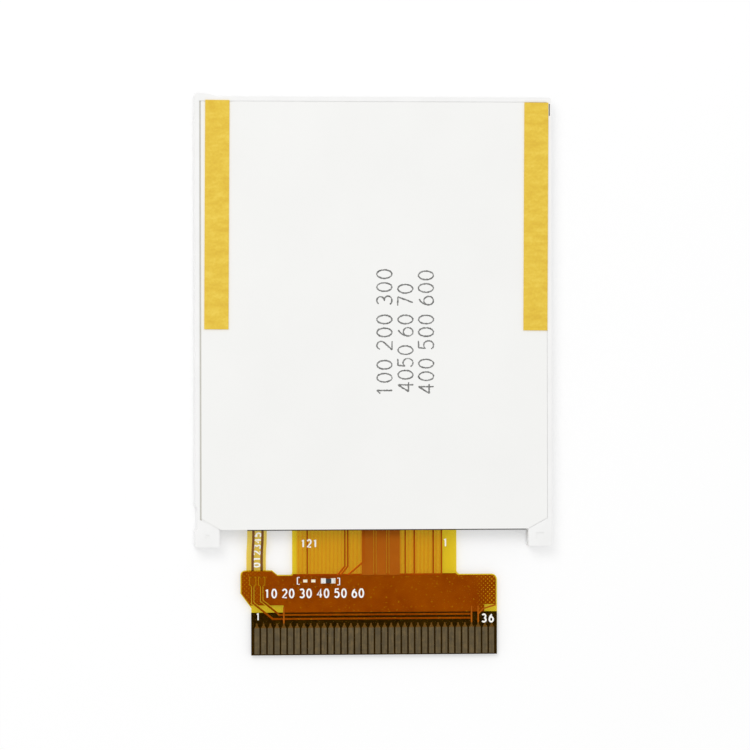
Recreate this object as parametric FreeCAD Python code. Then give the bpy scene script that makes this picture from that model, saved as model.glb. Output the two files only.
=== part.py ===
import FreeCAD, Part
import math
import os

# A small colour display module lying on its screen, with its back up.
# Millimetres. X runs across the screen, Y towards its top edge, Z from the screen to the back.
# The origin is on the screen's outer face, in the middle of the moulded frame's outline.

# Screen cell
active_width = 34.85
active_height = 43.56
active_above_filter_edge = 1.65
glass_thickness = 0.5
cell_gap = 0.005
seal_width = 0.7
seal_setback = 0.15
front_polariser_thickness = 0.2
front_polariser_margin = 0.9
rear_polariser_thickness = 0.18
rear_polariser_margin = 0.7

# Driver chip and coating on the contact ledge
chip_length = 17.0
chip_width = 1.0
chip_height = 0.3
chip_from_filter = 0.55
chip_from_flex = 0.55
bond_film_thickness = 0.02
coating_thickness = 0.05
coating_end_margin = 1.2
coating_gap = 0.03

# Moulded frame round the cell and the backlight
side_border = 3.775
top_border = 2.24
side_wall = 0.85
top_wall = 0.8
glass_clearance = 0.15
ledge_width = 1.45
top_ledge_width = 0.45
bar_thickness = 2.2
sheet_over_bar = 0.1
foot_length = 2.05
foot_width = 2.8
back_rim = 0.5
frame_corner_radius = 0.3
foot_corner_radius = 0.15
top_ear_height = 0.35
top_ear_width = 1.4
top_ear_slope = 1.3
wall_notch_depth = 0.22
wall_notch_length = 2.9
wall_notch_slope = 0.3
corner_slot_width = 0.14
corner_slot_length = 1.4
corner_slot_depth = 0.8
corner_slot_from_side = 0.14
corner_slot_from_top = 0.75
foot_mark_depth = 0.1
foot_mark_from_side = 1.4
foot_mark_from_end = 1.22
left_mark_size = 0.45
right_mark_width = 0.95
right_mark_height = 0.75

# Backlight layers
rim_tape_thickness = 0.06
rim_tape_window_margin = 0.4
rim_tape_end_setback = 0.3
prism_sheet_thickness = 0.065
diffuser_thickness = 0.06
film_clearance = 0.3
film_end_gap = 0.1
guide_thickness = 0.6
guide_clearance = 0.15
ear_width = 3.0
ear_reach = 0.8
ear_above_centre = 9.0
ear_clearance = 0.12
back_sheet_thickness = 0.1
back_sheet_gap = 0.12
back_sheet_shift = 0.08
back_sheet_corner_rise = 1.2

# Light strip with its side lamps and its tail
lamp_count = 4
lamp_pitch = 9.0
lamp_length = 3.0
lamp_depth = 0.8
lamp_back_clearance = 0.1
lamp_terminal_length = 0.35
lamp_terminal_inset = 0.05
lamp_window_length = 2.0
lamp_window_height = 0.36
lamp_window_depth = 0.2
lamp_air_gap = 0.05
lamp_pocket_clearance = 0.1
strip_end_margin = 0.02
strip_side_clearance = 0.15
strip_past_sheet = 0.13
strip_over_guide = 0.6
strip_film_thickness = 0.07
strip_line_width = 0.3
link_line_drop = 0.35
return_line_drop = 1.0
tail_width = 2.32
tail_straight = 0.4
tail_bend_run = 3.0
tail_under_band = 1.9
tail_line_left_inset = 0.74
tail_line_right_inset = 0.51
tail_pad_width = 0.7
tail_pad_length = 0.9
tail_pad_from_end = 0.6
tail_solder_height = 0.06

# Flexible circuit, counted from its own middle line and the back sheet's lower edge
flex_offset = 0.2
neck_width = 19.6
neck_length = 5.36
neck_left_fillet = 0.25
neck_right_fillet = 0.45
band_margin = 0.35
band_corner_radius = 0.65
flex_length = 14.88
lobe_margin = 0.73
flat_beside_neck = 1.75
lobe_rise = 0.55
lobe_slope_run = 0.65
lobe_side_length = 2.75
lobe_chamfer_rise = 1.75
lobe_corner_radius = 0.6
bond_length = 1.4
copper_thickness = 0.02
base_film_thickness = 0.05
coverlay_thickness = 0.045
coverlay_setback = 0.15
copper_margin = 0.13

# Contact fingers and the dark stiffener behind them
finger_count = 36
finger_pitch = 0.8
finger_width = 0.6
finger_length = 3.45
finger_end_margin = 0.12
finger_tip_length = 0.35
finger_stub_width = 0.18
finger_stub_length = 0.2
finger_tip_cover = 0.35
stiffener_length = 5.05
stiffener_thickness = 0.2

# Copper lines, their X counted from the circuit's middle line
lead_pitch = 0.16
lead_width = 0.055
leads_left_inset = 0.6
leads_right_inset = 1.8
neck_line_width = 0.22
straight_neck_lines = [-8.0, 3.68, 4.76, 7.02, 8.0]
jogged_neck_lines = [-3.53, -3.17]
jog_rise = 1.05
jog_run = 0.8
slanted_neck_line = -1.25
slant_rise = 1.62
slant_run = 1.8
neck_plane_left = -1.5
neck_plane_right = 3.05
lines_through_plane = [0.07, 1.61]
plane_slot_width = 0.04
copper_past_neck = 0.1
lamp_line_width = 0.22
lower_line_left_inset = 2.55
lower_line_rise = 0.73
upper_line_left_inset = 3.35
upper_line_rise = 1.2
diagonal_slope = 0.8
left_of_long_lead_count = 4
right_of_long_leads_count = 2
long_lead_length = 1.95
corner_line_run = 0.6
corner_line_rise = 1.05
ground_past_band = 0.08
ground_left_corner_width = 3.85
ground_right_corner_width = 1.5
ground_corner_height = 0.85

# Small parts on the band
part_row_drop = 0.75
resistor_x = -5.51
resistor_length = 1.06
resistor_width = 0.5
resistor_height = 0.33
resistor_cap_length = 0.2
resistor_cap_proud = 0.02
solder_film = 0.02
solder_reach = 0.3
solder_climb = 0.2
resistor_pad_margin = 0.04
bare_pad_count = 2
bare_pad_from_resistor = 1.77
bare_pad_pitch = 0.96
bare_pad_width = 0.5
bare_pad_height = 0.34
pad_window_gap = 0.05
ground_gap = 0.07

# Fastening strips on the back, with their liners still on
fastening_length = 27.0
fastening_width = 2.87
fastening_skew = -0.35
left_fastening_inset = 1.12
left_fastening_drop = 0.42
right_fastening_inset = 0.43
right_fastening_drop = 0.58
adhesive_thickness = 0.08
liner_thickness = 0.05

# Heights above the screen's outer face
z_filter_glass = front_polariser_thickness
z_cell = z_filter_glass + glass_thickness
z_array_glass = z_cell + cell_gap
z_rear_polariser = z_array_glass + glass_thickness
z_rim_tape = z_rear_polariser + rear_polariser_thickness
z_films = z_rim_tape + rim_tape_thickness
z_lower_prism = z_films + prism_sheet_thickness
z_diffuser = z_lower_prism + prism_sheet_thickness
z_guide = z_diffuser + diffuser_thickness
z_back_sheet = z_guide + guide_thickness
z_back = z_back_sheet + back_sheet_thickness
z_strip_copper = z_films + strip_film_thickness
z_lamps = z_strip_copper + copper_thickness
z_signal_top = z_array_glass - bond_film_thickness
z_signal = z_signal_top - copper_thickness
z_base = z_signal - base_film_thickness
z_ground = z_base - copper_thickness
z_tail_top = z_ground - tail_solder_height
z_tail = z_tail_top - copper_thickness - strip_film_thickness

# Places in plan
half_width = active_width / 2 + side_border
contact_ledge = bond_length + chip_from_flex + chip_width + chip_from_filter
under_active = foot_length + sheet_over_bar + contact_ledge + active_above_filter_edge
top_y = (under_active + active_height + top_border) / 2
foot_y = -top_y
foot_x = half_width - foot_width
sheet_y = foot_y + foot_length
bar_y = sheet_y + sheet_over_bar
glass_half = half_width - side_wall - glass_clearance
glass_top = top_y - top_wall - glass_clearance
filter_y = bar_y + contact_ledge
active_y = filter_y + active_above_filter_edge
window_half = half_width - side_wall - ledge_width
window_top = top_y - top_wall - top_ledge_width
lamp_face_y = bar_y + bar_thickness
lamp_back_y = lamp_face_y - lamp_depth
guide_y = lamp_face_y + lamp_air_gap
lamp_span = (lamp_count - 1) * lamp_pitch + lamp_length
lamp_centres = [(i - (lamp_count - 1) / 2) * lamp_pitch for i in range(lamp_count)]
terminal_centre = (lamp_length - lamp_terminal_length) / 2
strip_left = -lamp_span / 2 - strip_end_margin
strip_right = foot_x - strip_side_clearance
tail_right = strip_left + tail_width
tail_line_places = [strip_left + tail_line_left_inset, tail_right - tail_line_right_inset]
strip_low = sheet_y - strip_past_sheet
strip_high = guide_y + strip_over_guide
bond_top = bar_y + bond_length
flex_end = sheet_y - flex_length
band_y = sheet_y - neck_length
band_half = (finger_count - 1) * finger_pitch / 2 + finger_width / 2 + band_margin
lobe_left = strip_left - flex_offset - lobe_margin
slope_x = -neck_width / 2 - flat_beside_neck
lobe_top = band_y + lobe_rise
tail_end = lobe_top - tail_under_band
stiffener_top = flex_end + stiffener_length
finger_y = flex_end + finger_end_margin
finger_top = finger_y + finger_length
cover_y = finger_top - finger_tip_cover
part_row_y = band_y - part_row_drop
clear = 1.0
point_tolerance = 0.0001


def box(x0, x1, y0, y1, z0, z1):
    return Part.makeBox(x1 - x0, y1 - y0, z1 - z0, FreeCAD.Vector(x0, y0, z0))


def plate(points, z0, z1):
    """A flat piece of the given outline between two heights."""
    ring = [FreeCAD.Vector(x, y, z0) for x, y in points]
    wire = Part.makePolygon(ring + ring[:1])
    return Part.Face(wire).extrude(FreeCAD.Vector(0, 0, z1 - z0))


def union(shapes):
    """The shapes as one, without the seams where they meet."""
    whole = shapes[0]
    if len(shapes) > 1:
        whole = whole.multiFuse(shapes[1:])
    return whole.removeSplitter()


def round_uprights(shape, corners, radius):
    """Rounds the upright edges at the given corners."""
    edges = []
    for edge in shape.Edges:
        ends = [v.Point for v in edge.Vertexes]
        upright = len(ends) == 2 and abs(ends[0].z - ends[1].z) > Part.Precision.confusion()
        for x, y in corners:
            if upright and all(math.hypot(p.x - x, p.y - y) < point_tolerance for p in ends):
                edges.append(edge)
    return shape.makeFillet(radius, edges)


def ribbon(points, width, z0, z1):
    """A flat line of one width through the points, with square ends half a width past them."""
    runs = []
    for (ax, ay), (bx, by) in zip(points, points[1:]):
        length = math.hypot(bx - ax, by - ay)
        ux = (bx - ax) / length * width / 2
        uy = (by - ay) / length * width / 2
        corners = [
            (ax - ux - uy, ay - uy + ux),
            (ax - ux + uy, ay - uy - ux),
            (bx + ux + uy, by + uy - ux),
            (bx + ux - uy, by + uy + ux),
        ]
        runs.append(plate(corners, z0, z1))
    return union(runs)


# Screen cell


def array_glass():
    """The rear glass, with the contact ledge that stands past the front one."""
    return box(-glass_half, glass_half, bar_y, glass_top, z_array_glass, z_rear_polariser)


def filter_glass():
    return box(-glass_half, glass_half, filter_y, glass_top, z_filter_glass, z_cell)


def cell_space(setback, z0, z1):
    """The space between the two glasses, as far in from the front glass's edge as the setback."""
    half = glass_half - setback
    return box(-half, half, filter_y + setback, glass_top - setback, z0, z1)


def cell_seal():
    inner = seal_setback + seal_width
    outside = cell_space(seal_setback, z_cell, z_array_glass)
    return outside.cut(cell_space(inner, z_cell, z_array_glass))


def liquid_crystal():
    return cell_space(seal_setback + seal_width, z_cell, z_array_glass)


def over_active(margin, z0, z1):
    """A sheet that covers the active area and a margin round it."""
    half = active_width / 2 + margin
    return box(-half, half, active_y - margin, active_y + active_height + margin, z0, z1)


def chip_plate(grow, z0, z1):
    half = chip_length / 2 + grow
    top = filter_y - chip_from_filter
    return box(-half, half, top - chip_width - grow, top + grow, z0, z1)


def ledge_coating():
    """The clear coating over the ledge's bare lines, open round the driver chip."""
    half = glass_half - coating_end_margin
    z0 = z_array_glass - coating_thickness
    film = box(-half, half, bond_top + coating_gap, filter_y - coating_gap, z0, z_array_glass)
    return film.cut(chip_plate(coating_gap, z0, z_array_glass))


# Moulded frame


def frame_outline():
    """The frame seen from the back: feet at the lower corners, an ear over the upper left one."""
    notch_x = -half_width + wall_notch_depth
    notch_top = sheet_y + wall_notch_length
    ear_y = top_y + top_ear_height
    return [
        (-half_width, ear_y),
        (-half_width + top_ear_width, ear_y),
        (-half_width + top_ear_width + top_ear_slope, top_y),
        (half_width, top_y),
        (half_width, foot_y),
        (foot_x, foot_y),
        (foot_x, bar_y),
        (-foot_x, bar_y),
        (-foot_x, foot_y),
        (-half_width, foot_y),
        (-half_width, sheet_y - sheet_over_bar),
        (notch_x, sheet_y),
        (notch_x, notch_top - wall_notch_slope),
        (-half_width, notch_top),
    ]


def backlight_layer(margin, low, ear, z0, z1):
    """A layer that fills the frame's window but for a margin, with a locating ear on each side."""
    half = window_half - margin
    ear_half = half + ear_reach
    middle = box(-half, half, low, window_top - margin, z0, z1)
    ears = box(-ear_half, ear_half, ear_above_centre - ear / 2, ear_above_centre + ear / 2, z0, z1)
    return union([middle, ears])


def back_sheet_outline(gap):
    """The back sheet's outline, cut off at the lower corners where the feet begin."""
    half = half_width - back_rim - gap
    top = top_y - back_rim - gap
    corner_y = sheet_y + back_sheet_corner_rise + gap
    return [
        (-half, top),
        (half, top),
        (half, corner_y),
        (foot_x - gap, sheet_y),
        (gap - foot_x, sheet_y),
        (-half, corner_y),
    ]


def lamp_pocket(x):
    """Room for one side lamp in the lower bar, open towards the light guide."""
    half = lamp_length / 2 + lamp_pocket_clearance
    low = lamp_back_y - lamp_pocket_clearance
    return box(x - half, x + half, low, lamp_face_y + clear, z_films, z_back_sheet)


def foot_mark(x, width, height):
    """A shallow moulded mark in a foot's back face."""
    y = foot_y + foot_mark_from_end
    z0 = z_back - foot_mark_depth
    return box(x - width / 2, x + width / 2, y - height / 2, y + height / 2, z0, z_back + clear)


def corner_slot():
    """A short slot in the back of the right rim, near the top."""
    x = half_width - corner_slot_from_side
    y = top_y - corner_slot_from_top
    z0 = z_back - corner_slot_depth
    return box(x - corner_slot_width, x, y - corner_slot_length, y, z0, z_back + clear)


def mould_frame():
    """The white frame: a pocket for the glass in front, a window for the backlight, a recess behind."""
    frame = plate(frame_outline(), z_filter_glass, z_back)
    upper = [(half_width, top_y), (-half_width, top_y + top_ear_height)]
    frame = round_uprights(frame, upper, frame_corner_radius)
    feet = [(s * x, foot_y) for s in (-1, 1) for x in (foot_x, half_width)]
    frame = round_uprights(frame, feet, foot_corner_radius)
    half = glass_half + glass_clearance
    low = bar_y - glass_clearance
    pocket = box(-half, half, low, glass_top + glass_clearance, 0, z_films)
    window = backlight_layer(0, lamp_face_y, ear_width + 2 * ear_clearance, z_films, z_back)
    slot_left = strip_left - strip_side_clearance
    slot_right = strip_right + strip_side_clearance
    strip_slot = box(slot_left, slot_right, foot_y, lamp_face_y, z_films, z_guide)
    recess = plate(back_sheet_outline(0), z_back_sheet, z_back)
    left_x = -half_width + foot_mark_from_side
    marks = [
        foot_mark(left_x, left_mark_size, left_mark_size),
        foot_mark(-left_x, right_mark_width, right_mark_height),
    ]
    pockets = [lamp_pocket(x) for x in lamp_centres]
    return frame.cut([pocket, window, strip_slot, recess, corner_slot()] + marks + pockets)


# Backlight


def rim_tape():
    """The black tape between cell and backlight, open over the active area."""
    low = bar_y + rim_tape_end_setback
    tape = box(-glass_half, glass_half, low, glass_top, z_rim_tape, z_films)
    return tape.cut(over_active(rim_tape_window_margin, z_rim_tape, z_films))


def film(z0, thickness):
    """One of the three films between the tape and the light guide."""
    low = strip_high + film_end_gap
    return backlight_layer(film_clearance, low, ear_width, z0, z0 + thickness)


def light_guide():
    return backlight_layer(guide_clearance, guide_y, ear_width, z_guide, z_back_sheet)


def back_sheet():
    """The reflector sheet, which lies a little to the right in its recess."""
    sheet = plate(back_sheet_outline(back_sheet_gap), z_back_sheet, z_back)
    return sheet.translated(FreeCAD.Vector(back_sheet_shift, 0, 0))


def side_lamp(x):
    """A side lamp: a white body with a hollow lit face and a metal terminal at each end."""
    half = lamp_length / 2
    inner = half - lamp_terminal_length
    inset = lamp_terminal_inset
    z1 = z_back_sheet - lamp_back_clearance
    middle = box(x - inner, x + inner, lamp_back_y, lamp_face_y, z_lamps + inset, z1)
    back = lamp_back_y + inset
    face = lamp_face_y - inset
    ends = [
        box(x - half, x - inner, back, face, z_lamps, z1 - inset),
        box(x + inner, x + half, back, face, z_lamps, z1 - inset),
    ]
    window_z = (z_lamps + inset + z1 - lamp_window_height) / 2
    window = box(
        x - lamp_window_length / 2,
        x + lamp_window_length / 2,
        lamp_face_y - lamp_window_depth,
        lamp_face_y,
        window_z,
        window_z + lamp_window_height,
    )
    return union([middle] + ends).cut(window)


def tail_side(lift):
    """The tail's side line at a height above its front face: level, bent down and back, and level."""
    turn = 2 * math.atan((z_films - z_tail) / tail_bend_run)
    radius = tail_bend_run / 2 / math.sin(turn)
    bend_start = strip_low - tail_straight
    bend_end = bend_start - tail_bend_run

    def first(angle):
        reach = radius + lift
        y = bend_start - reach * math.sin(angle)
        return FreeCAD.Vector(0, y, z_films - radius + reach * math.cos(angle))

    def second(angle):
        reach = radius - lift
        y = bend_end + reach * math.sin(angle)
        return FreeCAD.Vector(0, y, z_tail + radius - reach * math.cos(angle))

    return [
        Part.LineSegment(FreeCAD.Vector(0, strip_low, z_films + lift), first(0)),
        Part.Arc(first(0), first(turn / 2), first(turn)),
        Part.Arc(second(turn), second(turn / 2), second(0)),
        Part.LineSegment(second(0), FreeCAD.Vector(0, tail_end, z_tail + lift)),
    ]


def tail_layer(x0, x1, low, high):
    """A layer of the tail between two heights above its front face."""
    lower = [line.toShape() for line in tail_side(low)]
    upper = [line.toShape() for line in tail_side(high)]
    start = FreeCAD.Vector(0, strip_low, z_films + low)
    end = FreeCAD.Vector(0, tail_end, z_tail + low)
    rise = FreeCAD.Vector(0, 0, high - low)
    ends = [Part.makeLine(start, start + rise), Part.makeLine(end, end + rise)]
    wire = Part.Wire(Part.__sortEdges__(lower + upper + ends))
    side = Part.Face(wire).translated(FreeCAD.Vector(x0, 0, 0))
    return side.extrude(FreeCAD.Vector(x1 - x0, 0, 0))


def strip_film():
    """The light strip's film, with the tail that bends down to the main circuit."""
    flat = box(strip_left, strip_right, strip_low, strip_high, z_films, z_strip_copper)
    tail = tail_layer(strip_left, tail_right, 0, strip_film_thickness)
    return union([flat, tail])


def strip_line(points):
    return ribbon(points, strip_line_width, z_strip_copper, z_lamps)


def tail_line(x):
    half = strip_line_width / 2
    top = strip_film_thickness + copper_thickness
    return tail_layer(x - half, x + half, strip_film_thickness, top)


def lamp_pad(x):
    half = lamp_terminal_length / 2 + strip_line_width / 2
    return box(x - half, x + half, lamp_back_y, lamp_face_y, z_strip_copper, z_lamps)


def strip_copper():
    """The strip's copper: the lamps in a row, one after the other, and two lines down the tail."""
    pads = []
    for x in lamp_centres:
        pads += [x - terminal_centre, x + terminal_centre]
    link_y = lamp_back_y - link_line_drop
    return_y = lamp_back_y - return_line_drop
    end_y = strip_low + strip_line_width / 2
    left_x, right_x = tail_line_places
    first, last = pads[0], pads[-1]
    lines = [
        strip_line([(first, lamp_back_y), (first, link_y), (left_x, link_y), (left_x, end_y)]),
        strip_line([(last, lamp_back_y), (last, return_y), (right_x, return_y), (right_x, end_y)]),
        tail_line(left_x),
        tail_line(right_x),
    ]
    for right, left in zip(pads[1:-1:2], pads[2::2]):
        link = [(right, lamp_back_y), (right, link_y), (left, link_y), (left, lamp_back_y)]
        lines.append(strip_line(link))
    return union([lamp_pad(x) for x in pads] + lines)


def strip_tape():
    """The black tape that holds the light strip to the bar and the guide, open round each lamp."""
    tape = box(strip_left, strip_right, strip_low, strip_high, z_lamps, z_guide)
    half = lamp_length / 2 + lamp_pocket_clearance
    low = lamp_back_y - lamp_pocket_clearance
    openings = [box(x - half, x + half, low, guide_y, z_lamps, z_guide) for x in lamp_centres]
    return tape.cut(openings)


# Flexible circuit


def flex_outline(inset):
    """Seen from the back: the bonded neck, the band with its lobe at the left, the finger end."""
    neck = neck_width / 2 - inset
    band = band_half - inset
    left = lobe_left + inset
    shoulder = band_y - inset
    chamfer_y = lobe_top - lobe_side_length
    return [
        (-neck, bond_top - inset),
        (neck, bond_top - inset),
        (neck, shoulder),
        (band, shoulder),
        (band, flex_end + inset),
        (-band, flex_end + inset),
        (-band, chamfer_y - lobe_chamfer_rise),
        (left, chamfer_y),
        (left, lobe_top - inset),
        (slope_x - lobe_slope_run, lobe_top - inset),
        (slope_x, shoulder),
        (-neck, shoulder),
    ]


def flex_layer(inset, low, high, z0, z1):
    """A layer of the circuit that keeps an inset from its outline, from one Y to another."""
    whole = plate(flex_outline(inset), z0, z1)
    neck = neck_width / 2 - inset
    band = band_half - inset
    shoulder = band_y - inset
    whole = round_uprights(whole, [(-neck, shoulder)], neck_left_fillet)
    whole = round_uprights(whole, [(neck, shoulder)], neck_right_fillet)
    whole = round_uprights(whole, [(band, shoulder)], band_corner_radius - inset)
    lobe_corner = (lobe_left + inset, lobe_top - inset)
    whole = round_uprights(whole, [lobe_corner], lobe_corner_radius - inset)
    reach = band_half - lobe_left
    return whole.common(box(-reach, reach, low, high, z0, z1))


def signal_line(points, width):
    return ribbon(points, width, z_signal, z_signal_top)


def neck_run(x0, x1):
    """Copper between two places, along the whole neck."""
    return box(x0, x1, band_y - copper_past_neck, bond_top - copper_margin, z_signal, z_signal_top)


def neck_copper():
    """The fine leads from the glass, the wider lines among them and the supply plane."""
    top = bond_top - copper_margin
    low = band_y - copper_past_neck
    half = neck_line_width / 2
    pieces = [neck_run(neck_plane_left, neck_plane_right)]
    first_lead = leads_left_inset - neck_width / 2
    last_lead = neck_width / 2 - leads_right_inset
    for i in range(int((last_lead - first_lead) / lead_pitch) + 1):
        x = first_lead + i * lead_pitch
        pieces.append(neck_run(x - lead_width / 2, x + lead_width / 2))
    for x in straight_neck_lines:
        pieces.append(neck_run(x - half, x + half))
    for x in jogged_neck_lines:
        path = [(x, top - half), (x, low + jog_rise), (x - jog_run, low + half)]
        pieces.append(signal_line(path, neck_line_width))
    x = slanted_neck_line
    path = [(x, top - half), (x, low + slant_rise), (x - slant_run, low + half)]
    pieces.append(signal_line(path, neck_line_width))
    slot = half + plane_slot_width
    slots = [neck_run(x - slot, x + slot) for x in lines_through_plane]
    lines = [neck_run(x - half, x + half) for x in lines_through_plane]
    return Part.makeCompound(union(pieces).cut(slots).Solids + lines)


def long_leads():
    """The leads that run on from a few of the fingers, the last of them bent to the right edge."""
    low = finger_top + finger_stub_length
    upper_y = finger_top + upper_line_rise
    pieces = []
    half = finger_stub_width / 2
    last = finger_count - 1 - right_of_long_leads_count
    for k in (left_of_long_lead_count, last - 1, last):
        x = finger_x(k)
        pieces.append(box(x - half, x + half, low, low + long_lead_length, z_signal, z_signal_top))
    x = finger_x(last)
    bend = (x + corner_line_run, upper_y + corner_line_run)
    end = (band_half - copper_margin - half, upper_y + corner_line_rise)
    pieces.append(signal_line([(x, upper_y), bend, end], finger_stub_width))
    return union(pieces)


def signal_copper():
    return Part.makeCompound(neck_copper().Solids + long_leads().Solids)


def finger_x(k):
    return (k - (finger_count - 1) / 2) * finger_pitch


def finger(k):
    """One contact finger: a flat bar whose upper end narrows to a short lead."""
    x = finger_x(k)
    half = finger_width / 2
    stub = finger_stub_width / 2
    shoulder = finger_top - finger_tip_length
    stub_top = finger_top + finger_stub_length
    points = [
        (x - half, finger_y),
        (x + half, finger_y),
        (x + half, shoulder),
        (x + stub, finger_top),
        (x + stub, stub_top),
        (x - stub, stub_top),
        (x - stub, finger_top),
        (x - half, shoulder),
    ]
    return plate(points, z_signal, z_signal_top)


def fingers():
    return Part.makeCompound([finger(k) for k in range(finger_count)])


def pad_rows():
    """The middle and the size of each solder pad on the band's back."""
    reach = (resistor_length + solder_reach - resistor_cap_length) / 2
    width = resistor_cap_length + solder_reach + 2 * resistor_pad_margin
    height = resistor_width + 2 * (resistor_cap_proud + resistor_pad_margin)
    rows = [(resistor_x + side * reach, width, height) for side in (-1, 1)]
    for i in range(bare_pad_count):
        x = resistor_x - bare_pad_from_resistor - i * bare_pad_pitch
        rows.append((x, bare_pad_width, bare_pad_height))
    return rows


def pads(grow, z0, z1):
    shapes = []
    for x, width, height in pad_rows():
        dx = width / 2 + grow
        dy = height / 2 + grow
        shapes.append(box(x - dx, x + dx, part_row_y - dy, part_row_y + dy, z0, z1))
    return shapes


def tail_pads(grow, z0, z1):
    """The two pads on the band's front, over the ends of the tail's lines."""
    y = tail_end + tail_pad_from_end
    shapes = []
    for line_x in tail_line_places:
        x = line_x - flex_offset
        dx = tail_pad_width / 2 + grow
        dy = tail_pad_length / 2 + grow
        shapes.append(box(x - dx, x + dx, y - dy, y + dy, z0, z1))
    return shapes


def lamp_lines(width):
    """The lamps' two lines on the front, from the tail's pads down and along above the fingers."""
    half = lamp_line_width / 2
    start = tail_end + tail_pad_from_end - tail_pad_length / 2 - half
    right = finger_x(finger_count - 1 - right_of_long_leads_count - 1)
    insets = (lower_line_left_inset, upper_line_left_inset)
    rises = (lower_line_rise, upper_line_rise)
    lines = []
    for tail_x, inset, rise in zip(tail_line_places, insets, rises):
        x = tail_x - flex_offset
        y = finger_top + rise
        left = inset - band_half
        path = [(x, start), (x, y + (left - x) * diagonal_slope), (left, y), (right, y)]
        lines.append(ribbon(path, width, z_ground, z_base))
    return lines


def ground_copper():
    """The copper plane on the band's front, cut away at both lower corners and round the lamp lines."""
    corner = stiffener_top + ground_corner_height
    plane = flex_layer(copper_margin, stiffener_top, lobe_top, z_ground, z_base)
    neck = box(-neck_width / 2, neck_width / 2, band_y + ground_past_band, lobe_top, z_ground, z_base)
    left = ground_left_corner_width - band_half
    right = band_half - ground_right_corner_width
    corners = [
        box(lobe_left, left, stiffener_top, corner, z_ground, z_base),
        box(right, band_half, stiffener_top, corner, z_ground, z_base),
    ]
    around_lines = lamp_lines(lamp_line_width + 2 * ground_gap)
    around_pads = tail_pads(ground_gap, z_ground, z_base)
    plane = plane.cut([neck] + corners + around_lines + around_pads)
    return Part.makeCompound(plane.Solids + lamp_lines(lamp_line_width))


def back_coverlay(copper):
    """The clear amber cover on the circuit's back, down to the fingers' tips, open over the pads."""
    top = z_signal + coverlay_thickness
    cover = flex_layer(0, cover_y, bar_y - coverlay_setback, z_signal, top)
    return cover.cut(copper + pads(pad_window_gap, z_signal, top))


def front_coverlay(copper):
    low = z_base - coverlay_thickness
    cover = flex_layer(0, stiffener_top, bond_top - coverlay_setback, low, z_base)
    return cover.cut(copper + tail_pads(pad_window_gap, low, z_base))


def stiffener(copper):
    """The dark film behind the fingers, bonded down over the lamp lines."""
    film = flex_layer(0, flex_end, stiffener_top, z_base - stiffener_thickness, z_base)
    return film.cut(copper)


def bond_film():
    half = neck_width / 2
    return box(-half, half, bar_y, bond_top, z_signal_top, z_array_glass)


def chip_resistor():
    """The chip resistor: a ceramic bar with a slightly proud metal cap on each end."""
    half = resistor_length / 2
    inner = half - resistor_cap_length
    side = resistor_width / 2
    step = resistor_cap_proud
    z0 = z_signal_top + solder_film
    z1 = z0 + resistor_height + 2 * step
    y = part_row_y
    x = resistor_x
    pieces = [box(x - inner, x + inner, y - side, y + side, z0 + step, z1 - step)]
    for x0, x1 in ((x - half, x - inner), (x + inner, x + half)):
        pieces.append(box(x0, x1, y - side - step, y + side + step, z0, z1))
    return union(pieces)


def solder_joint(side):
    """Solder under one cap of the resistor and in a slope up its end."""
    step = resistor_cap_proud
    y0 = part_row_y - resistor_width / 2 - step
    cap_end = resistor_length / 2
    z0 = z_signal_top
    z1 = z0 + solder_film
    points = [
        (cap_end - resistor_cap_length, z0),
        (cap_end + solder_reach, z0),
        (cap_end, z1 + solder_climb),
        (cap_end, z1),
        (cap_end - resistor_cap_length, z1),
    ]
    ring = [FreeCAD.Vector(resistor_x + side * x, y0, z) for x, z in points]
    face = Part.Face(Part.makePolygon(ring + ring[:1]))
    return face.extrude(FreeCAD.Vector(0, resistor_width + 2 * step, 0))


# Fastening strips


def fastening(x, drop, z0, thickness):
    """A strip along one side of the back sheet, laid a little askew as by hand."""
    half = fastening_width / 2
    reach = fastening_length / 2
    y = top_y - drop - reach
    strip = box(x - half, x + half, y - reach, y + reach, z0, z0 + thickness)
    strip.rotate(FreeCAD.Vector(x, y, 0), FreeCAD.Vector(0, 0, 1), fastening_skew)
    return strip


def left_fastening(z0, thickness):
    x = -half_width + left_fastening_inset + fastening_width / 2
    return fastening(x, left_fastening_drop, z0, thickness)


def right_fastening(z0, thickness):
    x = half_width - right_fastening_inset - fastening_width / 2
    return fastening(x, right_fastening_drop, z0, thickness)


def on_flex(shape):
    """Moves a shape from the circuit's own middle line to its place in the module."""
    return shape.translated(FreeCAD.Vector(flex_offset, 0, 0))


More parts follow.
